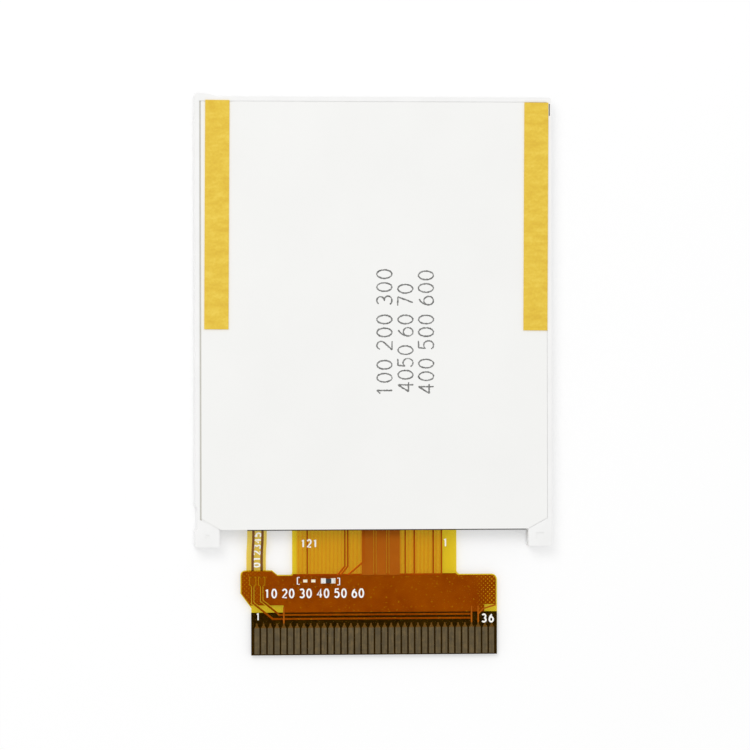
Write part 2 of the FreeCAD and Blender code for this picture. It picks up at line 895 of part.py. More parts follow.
def build():
    """Every piece by its node name."""
    signal = signal_copper()
    finger_group = fingers()
    back_pads = pads(0, z_signal, z_signal_top)
    front_pads = tail_pads(0, z_ground, z_base)
    ground = ground_copper()
    z_liner = z_back + adhesive_thickness
    parts = {
        "front_polariser": over_active(front_polariser_margin, 0, z_filter_glass),
        "colour_filter_glass": filter_glass(),
        "cell_seal": cell_seal(),
        "liquid_crystal_layer": liquid_crystal(),
        "array_glass": array_glass(),
        "rear_polariser": over_active(rear_polariser_margin, z_rear_polariser, z_rim_tape),
        "driver_chip": chip_plate(0, z_signal_top - chip_height, z_signal_top),
        "chip_bond_film": chip_plate(0, z_signal_top, z_array_glass),
        "ledge_coating": ledge_coating(),
        "mould_frame": mould_frame(),
        "rim_tape": rim_tape(),
        "upper_prism_sheet": film(z_films, prism_sheet_thickness),
        "lower_prism_sheet": film(z_lower_prism, prism_sheet_thickness),
        "diffuser_sheet": film(z_diffuser, diffuser_thickness),
        "light_guide_plate": light_guide(),
        "back_sheet": back_sheet(),
        "light_strip_film": strip_film(),
        "light_strip_copper": strip_copper(),
        "light_strip_tape": strip_tape(),
        "flex_bond_film": on_flex(bond_film()),
        "flex_base_film": on_flex(flex_layer(0, flex_end, bond_top, z_base, z_signal)),
        "signal_copper": on_flex(signal),
        "ground_copper": on_flex(ground),
        "back_coverlay": on_flex(back_coverlay(signal.Solids + finger_group.Solids + back_pads)),
        "front_coverlay": on_flex(front_coverlay(ground.Solids + front_pads)),
        "contact_fingers": on_flex(finger_group),
        "finger_stiffener": on_flex(stiffener(ground.Solids)),
        "solder_pads": on_flex(Part.makeCompound(back_pads)),
        "tail_pads": on_flex(Part.makeCompound(front_pads)),
        "tail_solder": on_flex(Part.makeCompound(tail_pads(0, z_tail_top, z_ground))),
        "chip_resistor": on_flex(chip_resistor()),
        "resistor_solder": on_flex(Part.makeCompound([solder_joint(s) for s in (-1, 1)])),
        "left_adhesive": left_fastening(z_back, adhesive_thickness),
        "left_liner": left_fastening(z_liner, liner_thickness),
        "right_adhesive": right_fastening(z_back, adhesive_thickness),
        "right_liner": right_fastening(z_liner, liner_thickness),
    }
    for i, x in enumerate(lamp_centres):
        parts["side_lamp_" + str(i + 1)] = side_lamp(x)
    return parts


os.makedirs("parts", exist_ok=True)
for node, shape in build().items():
    if not shape.isValid():
        raise ValueError(node + " is not a valid shape")
    shape.exportStep("parts/" + node + ".step")
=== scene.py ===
import bpy
import math
import random
from mathutils import Matrix, Vector


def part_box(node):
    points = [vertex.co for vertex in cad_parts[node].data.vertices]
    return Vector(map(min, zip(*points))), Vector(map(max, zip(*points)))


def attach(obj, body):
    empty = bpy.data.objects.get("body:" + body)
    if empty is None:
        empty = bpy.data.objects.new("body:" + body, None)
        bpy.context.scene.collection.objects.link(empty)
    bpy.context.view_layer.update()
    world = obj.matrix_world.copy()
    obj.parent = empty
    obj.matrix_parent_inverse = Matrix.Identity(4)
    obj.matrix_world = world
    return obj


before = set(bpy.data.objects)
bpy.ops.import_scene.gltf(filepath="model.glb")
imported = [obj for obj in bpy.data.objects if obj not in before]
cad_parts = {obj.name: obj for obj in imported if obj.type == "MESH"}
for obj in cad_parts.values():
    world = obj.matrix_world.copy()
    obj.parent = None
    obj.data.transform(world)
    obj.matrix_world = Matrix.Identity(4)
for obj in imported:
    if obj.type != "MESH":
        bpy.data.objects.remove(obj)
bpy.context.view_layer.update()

MM = 0.001

# Camera, as the photograph was taken: from straight above and a little from the left
PHOTO_PIXELS = 750
VIEW_FROM_LEFT = math.radians(7.3)
VIEW_DISTANCE = 750 * MM
PIXELS_PER_MM = 8.468
LOOK_AT = Vector((0.1 * MM, -6.28 * MM, 2.335 * MM))
VIEW_ROLL = math.radians(-0.1)
SENSOR_WIDTH = 36.0

# Light
SKY_STRENGTH = 0.8
KEY_WATTS = 1.2
KEY_SIZE = 0.35
KEY_PLACE = Vector((-0.22, 0.3, 0.55))
FLOOR_HALF = 0.6
FLOOR_DROP = 0.001 * MM
FLOOR_GLOW = 0.4

# Faces that the printed marks lie on, and how far the marks stand up
COVER_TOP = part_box("back_coverlay")[1].z
SHEET_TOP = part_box("back_sheet")[1].z
INK_HEIGHT = 0.006 * MM
PRINT_HEIGHT = 0.012 * MM
PRINT_CLIMB = 0.001 * MM

# White prints on the circuit's cover: name, text, x, y, height, pitch and stroke width, in millimetres
CIRCUIT_PRINTS = [
    ("print_neck_left", "121", -7.57, -26.17, 0.86, 0.72, 0.19),
    ("print_neck_right", "1", 8.68, -26.13, 0.9, 0.72, 0.17),
    ("print_first_finger", "1", -13.67, -34.79, 0.85, 0.72, 0.15),
    ("print_last_finger", "36", 13.73, -35.12, 0.9, 0.86, 0.2),
    ("print_bracket_left", "[", -8.86, -30.59, 0.8, 0.72, 0.13),
    ("print_bracket_right", "]", -4.08, -30.69, 0.8, 0.72, 0.13),
    ("print_row", "10 20 30 40 50 60", -6.97, -32.07, 0.98, 0.83, 0.19),
]
PRINT_SLIM = 0.62

# The print that reads up the tail
TAIL_TEXT = "012345"
TAIL_PRINT_X = -13.8 * MM
TAIL_PRINT_Y = -26.9 * MM
TAIL_TEXT_HEIGHT = 0.8 * MM
TAIL_TEXT_PITCH = 0.72 * MM
TAIL_STROKE = 0.18 * MM

# Rows of ink dots that read up the sheet: text, pitch, x and y, in millimetres
INK_ROWS = [
    ("100 200 300", 1.53, 1.23, -1.25),
    ("4050 60 70", 1.45, 3.73, -1.9),
    ("400 500 600", 1.49, 6.19, -1.22),
]
INK_TEXT_HEIGHT = 1.8 * MM
INK_SLIM = 0.7
INK_SEED = 7
INK_DOT_GAP = 0.14 * MM
INK_DOT_RADIUS = 0.11 * MM
INK_DOT_SIDES = 8
INK_DOT_STRAY = 0.15
INK_DOT_SIZES = (0.75, 1.1)
INK_DOT_TOPS = (0.5, 1.0)

# See-through films lie face to face, so a hair between them and what they touch keeps each face apart
FILM_NODES = ["flex_base_film", "back_coverlay", "front_coverlay", "light_strip_film", "ledge_coating"]
FILM_HAIR = 0.002 * MM
FILM_CROSSINGS = 32

# Openings in the plane's hatch: from how far inside each end they begin, and where they are fullest
HATCH_PITCH = 0.5 * MM
HATCH_RIGHT = (2.4 * MM, 0.5 * MM)
HATCH_LEFT = (2.9 * MM, 0.8 * MM)

# Copper lines on the neck, counted from the circuit's middle line as in the source
NECK_MIDDLE = 0.2 * MM
NECK_LINE_HALF = 0.11 * MM
STRAIGHT_LINES = [v * MM for v in (-8.0, 0.07, 1.61, 3.68, 4.76, 7.02, 8.0)]
JOGGED_LINES = [v * MM for v in (-3.53, -3.17)]
JOG_RISE = 1.05 * MM
JOG_RUN = 0.8 * MM
SLANTED_LINES = [-1.25 * MM]
SLANT_RISE = 1.62 * MM
SLANT_RUN = 1.8 * MM
PLANE_MIDDLE = 0.775 * MM
PLANE_HALF = 2.28 * MM
NECK_LOW = -29.96 * MM
COVER_EDGE = -36.16 * MM

# The width over which one tone passes into the next where a finish changes
EDGE_SOFTNESS = 0.01 * MM

# The resistor's metal caps
RESISTOR_CAP = 0.2 * MM

# The side lamps, their metal ends and the recess of their lit face, as in the source
LAMP_COUNT = 4
LAMP_TERMINAL = 0.35 * MM
LAMP_WINDOW_HALF = 1.01 * MM
LAMP_WINDOW_DEEP = 0.11 * MM
LAMP_WINDOW_REACH = 0.1 * MM
LAMP_WINDOW_RISE = 0.22 * MM

# The gap left of the back sheet, where the shade in the groove is painted onto the moulding
GROOVE_MIDDLE = -20.6 * MM
GROOVE_HALF = 0.13 * MM
GROOVE_DEPTH = 0.05 * MM


# Node helpers


class Shader:
    """A material's node tree, with short calls for the nodes that the finishes use."""

    def __init__(self, name):
        self.material = bpy.data.materials.new(name)
        self.material.use_nodes = True
        self.tree = self.material.node_tree
        self.main = self.tree.nodes["Principled BSDF"]
        self.out = self.tree.nodes["Material Output"]
        self.place = self.add("ShaderNodeTexCoord").outputs["Object"]

    def add(self, kind, **values):
        node = self.tree.nodes.new(kind)
        for key, value in values.items():
            setattr(node, key, value)
        return node

    def link(self, source, target):
        self.tree.links.new(source, target)

    def set(self, **values):
        """Sets sockets of the main shader by name, with spaces written as underscores."""
        for key, value in values.items():
            self.main.inputs[key.replace("_", " ")].default_value = value

    def stretched(self, scale):
        """The object's coordinates, scaled per axis."""
        mapping = self.add("ShaderNodeMapping")
        mapping.inputs["Scale"].default_value = scale
        self.link(self.place, mapping.inputs["Vector"])
        return mapping.outputs["Vector"]

    def noise(self, size, detail=3.0, roughness=0.5, vector=None):
        """Noise with features of about the given size in metres."""
        node = self.add("ShaderNodeTexNoise")
        node.inputs["Scale"].default_value = 1.0 / size
        node.inputs["Detail"].default_value = detail
        node.inputs["Roughness"].default_value = roughness
        self.link(vector or self.place, node.inputs["Vector"])
        return node.outputs["Fac"]

    def ramp(self, value, stops):
        """A colour ramp through (position, colour) stops."""
        node = self.add("ShaderNodeValToRGB")
        elements = node.color_ramp.elements
        while len(elements) < len(stops):
            elements.new(0.5)
        for element, (position, color) in zip(elements, stops):
            element.position = position
            element.color = (*color, 1.0)
        self.link(value, node.inputs["Fac"])
        return node.outputs["Color"]

    def span(self, value, low, high, to_low, to_high):
        """The value remapped from one range to another, kept inside it."""
        node = self.add("ShaderNodeMapRange")
        sockets = ("From Min", "From Max", "To Min", "To Max")
        for key, number in zip(sockets, (low, high, to_low, to_high)):
            node.inputs[key].default_value = number
        self.link(value, node.inputs["Value"])
        return node.outputs["Result"]

    def math(self, operation, a, b):
        """The result of a sum on two values, each a number or a socket."""
        node = self.add("ShaderNodeMath", operation=operation)
        for socket, value in zip(node.inputs, (a, b)):
            if isinstance(value, (int, float)):
                socket.default_value = value
            else:
                self.link(value, socket)
        return node.outputs["Value"]

    def axis(self, name):
        """One of the object's three coordinates."""
        node = self.add("ShaderNodeSeparateXYZ")
        self.link(self.place, node.inputs["Vector"])
        return node.outputs[name]

    def mix(self, factor, a, b):
        """Mixes two colours by a factor."""
        node = self.add("ShaderNodeMix", data_type="RGBA")
        self.link(factor, node.inputs[0])
        for socket, value in zip(node.inputs[6:8], (a, b)):
            if isinstance(value, tuple):
                socket.default_value = (*value, 1.0)
            else:
                self.link(value, socket)
        return node.outputs[2]

    def bump(self, height, depth, strength):
        """Bumps the surface by a height value, with the given depth in metres."""
        node = self.add("ShaderNodeBump")
        node.inputs["Strength"].default_value = strength
        node.inputs["Distance"].default_value = depth
        self.link(height, node.inputs["Height"])
        self.link(node.outputs["Normal"], self.main.inputs["Normal"])

    def color(self, source):
        self.link(source, self.main.inputs["Base Color"])

    def roughness(self, source):
        self.link(source, self.main.inputs["Roughness"])


def linear(red, green, blue):
    """A colour given in screen values from 0 to 255, as the shaders need it."""
    return tuple(
        v / 12.92 if v <= 0.04045 else ((v + 0.055) / 1.055) ** 2.4
        for v in (c / 255 for c in (red, green, blue))
    )


# Finishes


def white_moulding():
    """Satin white plastic, with painted shade in the gap left of the back sheet."""
    s = Shader("white_moulding")
    mottle = s.noise(2.5 * MM)
    clean = s.ramp(mottle, [(0.3, linear(240, 240, 239)), (0.7, linear(244, 244, 243))])
    low = SHEET_TOP - GROOVE_DEPTH
    sunk = s.span(s.axis("Z"), low - EDGE_SOFTNESS, low, 1.0, 0.0)
    # Painted shade: the moulding is darkened where it sinks below the back sheet, in the gap at its left
    painted_groove_shade = s.math("MULTIPLY", sunk, near(s, s.axis("X"), GROOVE_MIDDLE, GROOVE_HALF))
    s.color(s.mix(painted_groove_shade, clean, linear(204, 202, 194)))
    s.roughness(s.span(s.noise(0.6 * MM), 0.3, 0.7, 0.4, 0.55))
    s.set(Specular_IOR_Level=0.4)
    s.bump(s.noise(0.12 * MM, detail=4), 0.004 * MM, 0.5)
    return s.material


def reflector_sheet():
    s = Shader("reflector_sheet")
    s.color(s.ramp(s.noise(9 * MM), [(0.3, linear(241, 241, 239)), (0.7, linear(243, 243, 241))]))
    s.roughness(s.span(s.noise(3 * MM), 0.3, 0.7, 0.32, 0.42))
    s.set(Specular_IOR_Level=0.35)
    s.bump(s.noise(6 * MM, detail=2), 0.02 * MM, 0.25)
    return s.material


def release_liner():
    s = Shader("release_liner")
    blotch = s.noise(1.2 * MM, detail=4, roughness=0.6, vector=s.stretched((0.6, 1.4, 1.0)))
    speck = s.noise(0.3 * MM, detail=2)
    tone = s.math("ADD", s.math("MULTIPLY", blotch, 0.7), s.math("MULTIPLY", speck, 0.3))
    stops = [(0.35, linear(221, 181, 42)), (0.5, linear(228, 192, 52)), (0.66, linear(236, 204, 72))]
    s.color(s.ramp(tone, stops))
    s.roughness(s.span(blotch, 0.3, 0.7, 0.28, 0.42))
    s.bump(tone, 0.02 * MM, 0.5)
    return s.material


def soft_adhesive():
    s = Shader("soft_adhesive")
    s.color(s.ramp(s.noise(1.2 * MM), [(0.3, linear(214, 182, 84)), (0.7, linear(226, 198, 108))]))
    s.set(Roughness=0.35)
    return s.material


def see_through(name, tint, body, opacity):
    """A clear film: light passes tinted, and a little of it scatters in the film's own colour."""
    s = Shader(name)
    s.color(s.ramp(s.noise(2.2 * MM), [(0.3, body[0]), (0.7, body[1])]))
    s.roughness(s.span(s.noise(1.4 * MM), 0.3, 0.7, 0.16, 0.26))
    s.bump(s.noise(1.1 * MM, detail=2), 0.006 * MM, 0.4)
    clear = s.add("ShaderNodeBsdfTransparent")
    clear.inputs["Color"].default_value = (*tint, 1.0)
    blend = s.add("ShaderNodeMixShader")
    blend.inputs["Fac"].default_value = opacity
    s.link(clear.outputs["BSDF"], blend.inputs[1])
    s.link(s.main.outputs["BSDF"], blend.inputs[2])
    s.link(blend.outputs["Shader"], s.out.inputs["Surface"])
    return s.material


def base_film():
    """The film that carries the circuit's copper, a deeper amber than its covers."""
    body = (linear(62, 38, 6), linear(76, 48, 8))
    return see_through("base_film", (0.935, 0.85, 0.46), body, 0.004)


def cover_film():
    body = (linear(62, 38, 6), linear(76, 48, 8))
    return see_through("cover_film", (0.993, 0.98, 0.66), body, 0.004)


def strip_film():
    body = (linear(226, 176, 40), linear(232, 184, 52))
    return see_through("strip_film", (0.945, 0.845, 0.4), body, 0.04)


def clear_coating():
    body = (linear(214, 214, 208), linear(226, 226, 220))
    return see_through("clear_coating", (0.97, 0.97, 0.93), body, 0.12)


def copper_finish(name, dark, light):
    """Copper as it looks under film, and its colour for what is drawn on it."""
    s = Shader(name)
    tarnish = s.noise(1.5 * MM, detail=4)
    half_tarnish = s.math("MULTIPLY", tarnish, 0.5)
    drift = s.math("ADD", half_tarnish, s.math("MULTIPLY", s.noise(7 * MM, detail=1), 0.5))
    tone = s.ramp(drift, [(0.35, dark), (0.65, light)])
    s.color(tone)
    s.set(Metallic=0.1, Specular_IOR_Level=0.15)
    s.roughness(s.span(tarnish, 0.3, 0.7, 0.42, 0.55))
    return s, tone


def near(s, across, place, half):
    """One within the given distance of a place, nought outside."""
    away = s.math("ABSOLUTE", s.math("SUBTRACT", across, place), 0.0)
    return s.span(away, half, half + EDGE_SOFTNESS, 1.0, 0.0)


def leaning(s, across, height, rise, run):
    """The place across, carried back along a lean that starts at a rise above the band."""
    below = s.math("MAXIMUM", s.math("SUBTRACT", rise, height), 0.0)
    return s.math("ADD", across, s.math("MULTIPLY", below, run / rise))


def neck_copper():
    """Copper on the circuit's back: orange fine leads, a browner plane and darker wider lines."""
    s, tone = copper_finish("neck_copper", linear(164, 82, 34), linear(174, 92, 42))
    across = s.math("SUBTRACT", s.axis("X"), NECK_MIDDLE)
    height = s.math("SUBTRACT", s.axis("Y"), NECK_LOW)
    jogged = leaning(s, across, height, JOG_RISE, JOG_RUN)
    slanted = leaning(s, across, height, SLANT_RISE, SLANT_RUN)
    lines = near(s, across, STRAIGHT_LINES[0], NECK_LINE_HALF)
    others = [(across, STRAIGHT_LINES[1:]), (jogged, JOGGED_LINES), (slanted, SLANTED_LINES)]
    for coordinate, places in others:
        for place in places:
            lines = s.math("MAXIMUM", lines, near(s, coordinate, place, NECK_LINE_HALF))
    plane = near(s, across, PLANE_MIDDLE, PLANE_HALF)
    on_neck = s.span(height, 0.0, EDGE_SOFTNESS, 0.0, 1.0)
    leads = s.math("MULTIPLY", s.math("SUBTRACT", 1.0, plane), on_neck)
    tone = s.mix(leads, tone, linear(208, 76, 12))
    s.color(s.mix(s.math("MULTIPLY", lines, on_neck), tone, linear(168, 78, 22)))
    return s.material


def strip_copper():
    """The light strip's lines, dark under their own thin cover."""
    s = Shader("strip_copper")
    s.color(s.ramp(s.noise(0.8 * MM), [(0.3, linear(104, 62, 22)), (0.7, linear(124, 78, 30))]))
    s.set(Roughness=0.5, Specular_IOR_Level=0.2)
    return s.material


def hatched_copper():
    """The plane on the band's front, with rows of small openings towards both ends."""
    s, tone = copper_finish("hatched_copper", linear(150, 76, 38), linear(170, 96, 48))
    turns = 2 * math.pi / HATCH_PITCH
    across = s.math("COSINE", s.math("MULTIPLY", s.axis("X"), turns), 0.0)
    along = s.math("COSINE", s.math("MULTIPLY", s.axis("Y"), turns), 0.0)
    lattice = s.math("ABSOLUTE", s.math("SUBTRACT", across, along), 0.0)
    low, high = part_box("ground_copper")
    right = s.span(s.axis("X"), high.x - HATCH_RIGHT[0], high.x - HATCH_RIGHT[1], 0.0, 0.8)
    left = s.span(s.axis("X"), low.x + HATCH_LEFT[0], low.x + HATCH_LEFT[1], 0.0, 0.25)
    dots = s.math("MULTIPLY", s.span(lattice, 1.5, 1.8, 0.0, 1.0), s.math("ADD", left, right))
    specks = s.span(s.noise(0.3 * MM, detail=1), 0.67, 0.73, 0.0, 0.25)
    s.color(s.mix(s.math("MAXIMUM", dots, specks), tone, (0.95, 0.86, 0.5)))
    return s.material


def contact_plating():
    """Dull plating on the contacts, browner where the cover film laps over them."""
    s = Shader("contact_plating")
    tarnish = s.noise(0.7 * MM, detail=5, roughness=0.65)
    streak = s.noise(0.25 * MM, detail=3, vector=s.stretched((1.0, 0.12, 1.0)))
    tone = s.math("ADD", s.math("MULTIPLY", tarnish, 0.55), s.math("MULTIPLY", streak, 0.45))
    stops = [(0.36, linear(68, 55, 27)), (0.5, linear(82, 67, 34)), (0.66, linear(104, 84, 46))]
    covered = s.span(s.axis("Y"), COVER_EDGE, COVER_EDGE + EDGE_SOFTNESS, 0.0, 1.0)
    s.color(s.mix(covered, s.ramp(tone, stops), linear(94, 56, 44)))
    s.set(Metallic=0.25)
    s.roughness(s.span(tone, 0.35, 0.65, 0.38, 0.55))
    s.bump(streak, 0.004 * MM, 0.5)
    return s.material


def dark_stiffener():
    s = Shader("dark_stiffener")
    s.color(s.ramp(s.noise(1.2 * MM), [(0.3, linear(46, 37, 37)), (0.7, linear(54, 43, 43))]))
    s.set(Roughness=0.6, Specular_IOR_Level=0.05)
    s.bump(s.noise(0.2 * MM), 0.003 * MM, 0.4)
    return s.material


def gold_pad():
    s = Shader("gold_pad")
    s.color(s.ramp(s.noise(0.3 * MM), [(0.3, linear(232, 214, 170)), (0.7, linear(250, 240, 214))]))
    s.set(Metallic=0.5, Roughness=0.35)
    return s.material


def tail_pad():
    """Copper towards the film that carries it, and gold on its bare face."""
    s = Shader("tail_pad")
    normal = s.add("ShaderNodeSeparateXYZ")
    s.link(s.add("ShaderNodeNewGeometry").outputs["Normal"], normal.inputs["Vector"])
    up = s.span(normal.outputs["Z"], 0.4, 0.6, 0.0, 1.0)
    s.color(s.mix(up, linear(240, 222, 180), linear(163, 95, 50)))
    s.roughness(s.span(s.noise(0.5 * MM), 0.3, 0.7, 0.36, 0.5))
    s.set(Metallic=0.15)
    return s.material


def solder():
    s = Shader("solder")
    s.color(s.ramp(s.noise(0.2 * MM), [(0.3, linear(214, 214, 214)), (0.7, linear(244, 244, 244))]))
    s.set(Metallic=0.7)
    s.roughness(s.span(s.noise(0.15 * MM), 0.3, 0.7, 0.2, 0.4))
    s.bump(s.noise(0.12 * MM), 0.01 * MM, 0.5)
    return s.material


def resistor_body():
    """Black glaze in the middle and bright tinned caps at both ends."""
    s = Shader("resistor_body")
    low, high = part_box("chip_resistor")
    middle = (low.x + high.x) / 2
    from_middle = s.math("ABSOLUTE", s.math("SUBTRACT", s.axis("X"), middle), 0.0)
    cap_start = (high.x - low.x) / 2 - RESISTOR_CAP
    cap = s.span(from_middle, cap_start - EDGE_SOFTNESS / 2, cap_start + EDGE_SOFTNESS / 2, 0.0, 1.0)
    s.color(s.mix(cap, linear(28, 28, 30), linear(228, 228, 226)))
    s.link(s.math("MULTIPLY", cap, 0.7), s.main.inputs["Metallic"])
    s.roughness(s.span(s.noise(0.2 * MM), 0.3, 0.7, 0.3, 0.45))
    s.bump(s.noise(0.1 * MM), 0.004 * MM, 0.4)
    return s.material


def black_tape():
    s = Shader("black_tape")
    s.color(s.ramp(s.noise(0.8 * MM), [(0.3, linear(22, 20, 19)), (0.7, linear(34, 31, 29))]))
    s.set(Roughness=0.55)
    return s.material


def display_glass():
    s = Shader("display_glass")
    s.color(s.ramp(s.noise(8 * MM), [(0.3, linear(196, 206, 202)), (0.7, linear(206, 214, 210))]))
    s.set(Roughness=0.08)
    clear = s.add("ShaderNodeBsdfTransparent")
    clear.inputs["Color"].default_value = (0.93, 0.97, 0.95, 1.0)
    blend = s.add("ShaderNodeMixShader")
    blend.inputs["Fac"].default_value = 0.22
    s.link(clear.outputs["BSDF"], blend.inputs[1])
    s.link(s.main.outputs["BSDF"], blend.inputs[2])
    s.link(blend.outputs["Shader"], s.out.inputs["Surface"])
    return s.material


def polariser():
    s = Shader("polariser")
    s.color(s.ramp(s.noise(7 * MM), [(0.3, linear(26, 27, 30)), (0.7, linear(32, 33, 36))]))
    s.roughness(s.span(s.noise(5 * MM), 0.3, 0.7, 0.12, 0.18))
    return s.material


def plain(name, low, high, roughness, grain, metallic=0.0):
    """A simple finish with a slight mottle, for what lies inside."""
    s = Shader(name)
    s.color(s.ramp(s.noise(grain), [(0.3, linear(*low)), (0.7, linear(*high))]))
    s.set(Roughness=roughness, Metallic=metallic)
    return s.material


def lamp_finish(node):
    """A white lamp body with tinned terminals and a yellow filled window towards the light guide."""
    s = Shader(node + "_finish")
    low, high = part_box(node)
    from_middle = s.math("ABSOLUTE", s.math("SUBTRACT", s.axis("X"), (low.x + high.x) / 2), 0.0)
    terminal_start = (high.x - low.x) / 2 - LAMP_TERMINAL
    window = s.span(from_middle, LAMP_WINDOW_HALF, LAMP_WINDOW_HALF + EDGE_SOFTNESS, 1.0, 0.0)
    behind_face = near(s, s.axis("Y"), high.y - LAMP_WINDOW_DEEP, LAMP_WINDOW_REACH)
    window = s.math("MULTIPLY", window, behind_face)
    at_height = near(s, s.axis("Z"), (low.z + high.z) / 2, LAMP_WINDOW_RISE)
    window = s.math("MULTIPLY", window, at_height)
    terminal = s.span(from_middle, terminal_start - EDGE_SOFTNESS, terminal_start, 0.0, 1.0)
    body = s.ramp(s.noise(0.5 * MM), [(0.3, linear(238, 238, 230)), (0.7, linear(246, 244, 236))])
    s.color(s.mix(terminal, s.mix(window, body, linear(236, 214, 104)), linear(222, 222, 220)))
    s.link(s.math("MULTIPLY", terminal, 0.7), s.main.inputs["Metallic"])
    s.set(Roughness=0.4)
    return s.material


def screen_print():
    s = Shader("screen_print")
    s.color(s.ramp(s.noise(0.3 * MM), [(0.3, linear(240, 238, 230)), (0.7, linear(252, 251, 247))]))
    s.set(Roughness=0.6)
    return s.material


def jet_ink():
    s = Shader("jet_ink")
    s.color(s.ramp(s.noise(0.35 * MM), [(0.35, linear(94, 94, 92)), (0.65, linear(142, 142, 140))]))
    s.set(Roughness=0.7)
    return s.material


def dress():
    """Gives each node of the frame its finish."""
    cover = cover_film()
    glass = display_glass()
    dark_film = polariser()
    tape = black_tape()
    liner = release_liner()
    glue = soft_adhesive()
    tin = solder()
    gold = gold_pad()
    clear_film = plain("prism_film", (226, 230, 230), (236, 240, 240), 0.3, 4 * MM)
    bond = plain("bond_resin", (150, 124, 84), (170, 142, 98), 0.5, 0.5 * MM)
    finishes = {
        "mould_frame": white_moulding(),
        "back_sheet": reflector_sheet(),
        "left_liner": liner,
        "right_liner": liner,
        "left_adhesive": glue,
        "right_adhesive": glue,
        "flex_base_film": base_film(),
        "back_coverlay": cover,
        "front_coverlay": cover,
        "light_strip_film": strip_film(),
        "signal_copper": neck_copper(),
        "ground_copper": hatched_copper(),
        "light_strip_copper": strip_copper(),
        "contact_fingers": contact_plating(),
        "finger_stiffener": dark_stiffener(),
        "solder_pads": gold,
        "tail_pads": tail_pad(),
        "tail_solder": tin,
        "resistor_solder": tin,
        "chip_resistor": resistor_body(),
        "light_strip_tape": tape,
        "rim_tape": tape,
        "front_polariser": dark_film,
        "rear_polariser": dark_film,
        "array_glass": glass,
        "colour_filter_glass": glass,
        "cell_seal": plain("cell_resin", (176, 172, 156), (190, 186, 170), 0.5, 0.6 * MM),
        "liquid_crystal_layer": plain("crystal_layer", (46, 46, 50), (54, 54, 58), 0.2, 3 * MM),
        "driver_chip": plain("chip_silicon", (66, 68, 74), (80, 82, 90), 0.25, 0.8 * MM, 0.4),
        "chip_bond_film": bond,
        "flex_bond_film": bond,
        "ledge_coating": clear_coating(),
        "upper_prism_sheet": clear_film,
        "lower_prism_sheet": clear_film,
        "diffuser_sheet": plain("diffuser_film", (238, 238, 238), (244, 244, 244), 0.7, 2 * MM),
        "light_guide_plate": plain("guide_acrylic", (228, 234, 234), (238, 242, 242), 0.15, 5 * MM),
    }
    for i in range(LAMP_COUNT):
        lamp = "side_lamp_" + str(i + 1)
        finishes[lamp] = lamp_finish(lamp)
    for node, finish in finishes.items():
        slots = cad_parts[node].data.materials
        slots.clear()
        slots.append(finish)


def part_films():
    """Draws the films' faces in by a hair, and lets light cross them all."""
    for node in FILM_NODES:
        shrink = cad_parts[node].modifiers.new("hair", "DISPLACE")
        shrink.strength = -FILM_HAIR
        shrink.mid_level = 0.0
    bpy.context.scene.cycles.transparent_max_bounces = FILM_CROSSINGS


# Printed numbers, drawn with a pen of strokes


def arc(cx, cy, rx, ry, start, end):
    """Points along part of an ellipse, with angles in degrees."""
    count = max(3, int(abs(end - start) / 18))
    angles = [math.radians(start + (end - start) * i / count) for i in range(count + 1)]
    return [(cx + rx * math.cos(a), cy + ry * math.sin(a)) for a in angles]


def digit_strokes(digit):
    """The pen strokes of one digit in a box one wide and one high."""
    if digit == "0":
        return [arc(0.5, 0.5, 0.4, 0.5, 90, 450)]
    if digit == "1":
        return [[(0.25, 0.8), (0.52, 1.0), (0.52, 0.0)]]
    if digit == "2":
        return [arc(0.5, 0.72, 0.38, 0.28, 165, -35) + [(0.1, 0.0), (0.9, 0.0)]]
    if digit == "3":
        return [arc(0.46, 0.75, 0.36, 0.25, 150, -90) + arc(0.46, 0.26, 0.42, 0.26, 85, -150)]
    if digit == "4":
        return [[(0.7, 0.0), (0.7, 1.0), (0.08, 0.3), (0.95, 0.3)]]
    if digit == "5":
        return [[(0.85, 1.0), (0.22, 1.0), (0.16, 0.55)] + arc(0.46, 0.33, 0.42, 0.33, 130, -150)]
    if digit == "6":
        return [arc(0.92, 0.32, 0.82, 0.68, 110, 180) + arc(0.5, 0.32, 0.4, 0.32, 180, 540)]
    if digit == "7":
        return [[(0.1, 1.0), (0.9, 1.0), (0.36, 0.0)]]
    if digit == "8":
        return [arc(0.5, 0.75, 0.33, 0.25, -90, 270), arc(0.5, 0.26, 0.41, 0.26, 90, 450)]
    if digit == "9":
        return [[(1.0 - x, 1.0 - y) for x, y in stroke] for stroke in digit_strokes("6")]
    if digit == "[":
        return [[(0.8, 1.0), (0.25, 1.0), (0.25, 0.0), (0.8, 0.0)]]
    if digit == "]":
        return [[(0.2, 1.0), (0.75, 1.0), (0.75, 0.0), (0.2, 0.0)]]
    return []


def text_strokes(text, height, pitch, slim):
    """The strokes of a row of characters centred on the origin, with spaces half a character wide."""
    strokes = []
    steps = [pitch * (0.5 if character == " " else 1.0) for character in text]
    centre = -sum(steps) / 2
    for character, step in zip(text, steps):
        centre += step / 2
        for stroke in digit_strokes(character):
            strokes.append([(centre + (x - 0.5) * height * slim, (y - 0.5) * height) for x, y in stroke])
        centre += step / 2
    return strokes


